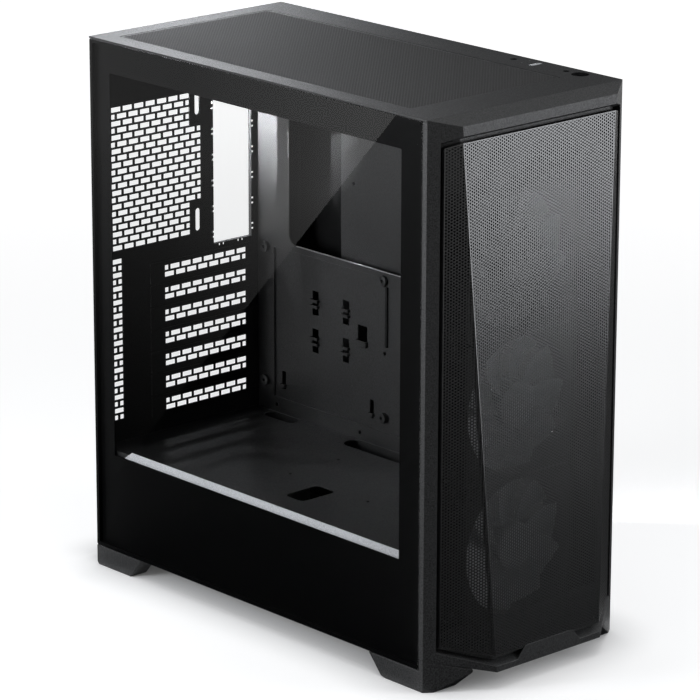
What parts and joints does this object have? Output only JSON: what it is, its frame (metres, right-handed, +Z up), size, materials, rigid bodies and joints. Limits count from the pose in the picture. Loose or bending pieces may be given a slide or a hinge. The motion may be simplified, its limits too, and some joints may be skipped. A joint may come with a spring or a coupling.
{
  "type": "desktop computer tower",
  "caption": "Mid-tower computer case with a glass side, faceted perforated front over spinning fans, slatted rear, removable panels, filters and drive trays, and sprung buttons.",
  "frame": {"origin": "bottom centre of the whole case's bounding box, on the surface it stands on", "axes": "+X to the case's right (the steel side), -Y towards the front, +Z up"},
  "size_m": [0.218, 0.46, 0.475],
  "materials": {
    "black_steel": "fine powder coat, satin",
    "tray_steel": "fine powder coat, satin",
    "roof_steel": "fine powder coat, matt",
    "mesh_steel": "perforated, satin",
    "grained_plastic": "fine sparkling grain",
    "fan_plastic": "moulded",
    "rotor_plastic": "satin, moulded",
    "gloss_black": "polished",
    "glass_border": "gloss black",
    "smoked_glass": "clear, lightly smoked",
    "stud_steel": "turned",
    "pale_trim": "light grey, finely speckled",
    "black_screws": "black zinc",
    "foot_rubber": "matt",
    "filter_gauze": "fine woven gauze",
    "circuit_board": "lacquered",
    "port_metal": "bright plated",
    "light_lens": "clear lens"
  },
  "bodies": {
    "chassis": {"rear_panel": "black_steel", "floor_panel": "black_steel", "front_wall": "black_steel", "motherboard_tray": "tray_steel", "tray_pressing": "tray_steel", "board_standoffs": "stud_steel", "psu_shroud": "tray_steel", "window_rail": "pale_trim", "top_frame": "black_steel", "roof_cover": "roof_steel", "side_struts": "black_steel", "ssd_plate": "tray_steel", "drive_cage": "black_steel", "slot_ledge": "black_steel", "slot_screws": "black_screws", "foot_front_left": "grained_plastic", "foot_front_right": "grained_plastic", "foot_rear_left": "grained_plastic", "foot_rear_right": "grained_plastic", "foot_pads": "foot_rubber", "psu_pads": "foot_rubber", "psu_filter_rails": "fan_plastic", "panel_sockets": "fan_plastic", "io_housing": "fan_plastic", "io_board": "circuit_board", "usb_port": "port_metal", "audio_jack": "gloss_black", "button_switches": "fan_plastic", "status_lights": "light_lens", "fan_screws": "black_screws", "chassis_rivets": "black_screws", "slot_cover_1": "black_steel", "slot_cover_2": "black_steel", "slot_cover_3": "black_steel", "slot_cover_4": "black_steel", "slot_cover_5": "black_steel", "slot_cover_6": "black_steel", "slot_cover_7": "black_steel", "fan_frame_1": "fan_plastic", "fan_frame_2": "fan_plastic", "fan_frame_3": "fan_plastic"},
    "glass_panel": {"side_glass": "smoked_glass", "glass_frame": "glass_border", "glass_studs": "stud_steel"},
    "right_side": {"right_panel": "black_steel", "panel_thumbscrews": "black_screws"},
    "bezel": {"bezel_frame": "grained_plastic", "bezel_mesh": "mesh_steel", "bezel_clips": "fan_plastic"},
    "roof_filter": {"roof_filter_frame": "roof_steel", "roof_filter_mesh": "filter_gauze"},
    "psu_filter": {"psu_filter_frame": "fan_plastic", "psu_filter_mesh": "filter_gauze"},
    "drive_tray_low": {"drive_tray_1": "fan_plastic"},
    "drive_tray_high": {"drive_tray_2": "fan_plastic"},
    "power_button": {"power_button": "gloss_black"},
    "reset_button": {"reset_button": "gloss_black"},
    "fan_rotor_low": {"fan_rotor_1": "rotor_plastic"},
    "fan_rotor_mid": {"fan_rotor_2": "rotor_plastic"},
    "fan_rotor_high": {"fan_rotor_3": "rotor_plastic"}
  },
  "joints": [
    {"name": "glass_panel_pull", "type": "slide", "parent": "chassis", "child": "glass_panel", "axis": [-1, 0, 0], "range_m": [0, 0.15]},
    {"name": "right_panel_slide", "type": "slide", "parent": "chassis", "child": "right_side", "axis": [0, 1, 0], "range_m": [0, 0.42]},
    {"name": "bezel_pull", "type": "slide", "parent": "chassis", "child": "bezel", "axis": [0, -1, 0], "range_m": [0, 0.12]},
    {"name": "roof_filter_lift", "type": "slide", "parent": "chassis", "child": "roof_filter", "axis": [0, 0, 1], "range_m": [0, 0.08]},
    {"name": "psu_filter_slide", "type": "slide", "parent": "chassis", "child": "psu_filter", "axis": [0, 1, 0], "range_m": [0, 0.17]},
    {"name": "drive_tray_low_slide", "type": "slide", "parent": "chassis", "child": "drive_tray_low", "axis": [1, 0, 0], "range_m": [0, 0.025]},
    {"name": "drive_tray_high_slide", "type": "slide", "parent": "chassis", "child": "drive_tray_high", "axis": [1, 0, 0], "range_m": [0, 0.025]},
    {"name": "power_press", "type": "slide", "parent": "chassis", "child": "power_button", "axis": [0, 0, -1], "range_m": [0, 0.002], "stiffness_N_per_m": 800},
    {"name": "reset_press", "type": "slide", "parent": "chassis", "child": "reset_button", "axis": [0, 0, -1], "range_m": [0, 0.002], "stiffness_N_per_m": 500},
    {"name": "fan_low_spin", "type": "hinge", "parent": "chassis", "child": "fan_rotor_low", "pos_m": [0, -0.1785, 0.0995], "axis": [0, 1, 0], "continuous": true},
    {"name": "fan_mid_spin", "type": "hinge", "parent": "chassis", "child": "fan_rotor_mid", "pos_m": [0, -0.1785, 0.2205], "axis": [0, 1, 0], "continuous": true},
    {"name": "fan_high_spin", "type": "hinge", "parent": "chassis", "child": "fan_rotor_high", "pos_m": [0, -0.1785, 0.3415], "axis": [0, 1, 0], "continuous": true}
  ]
}
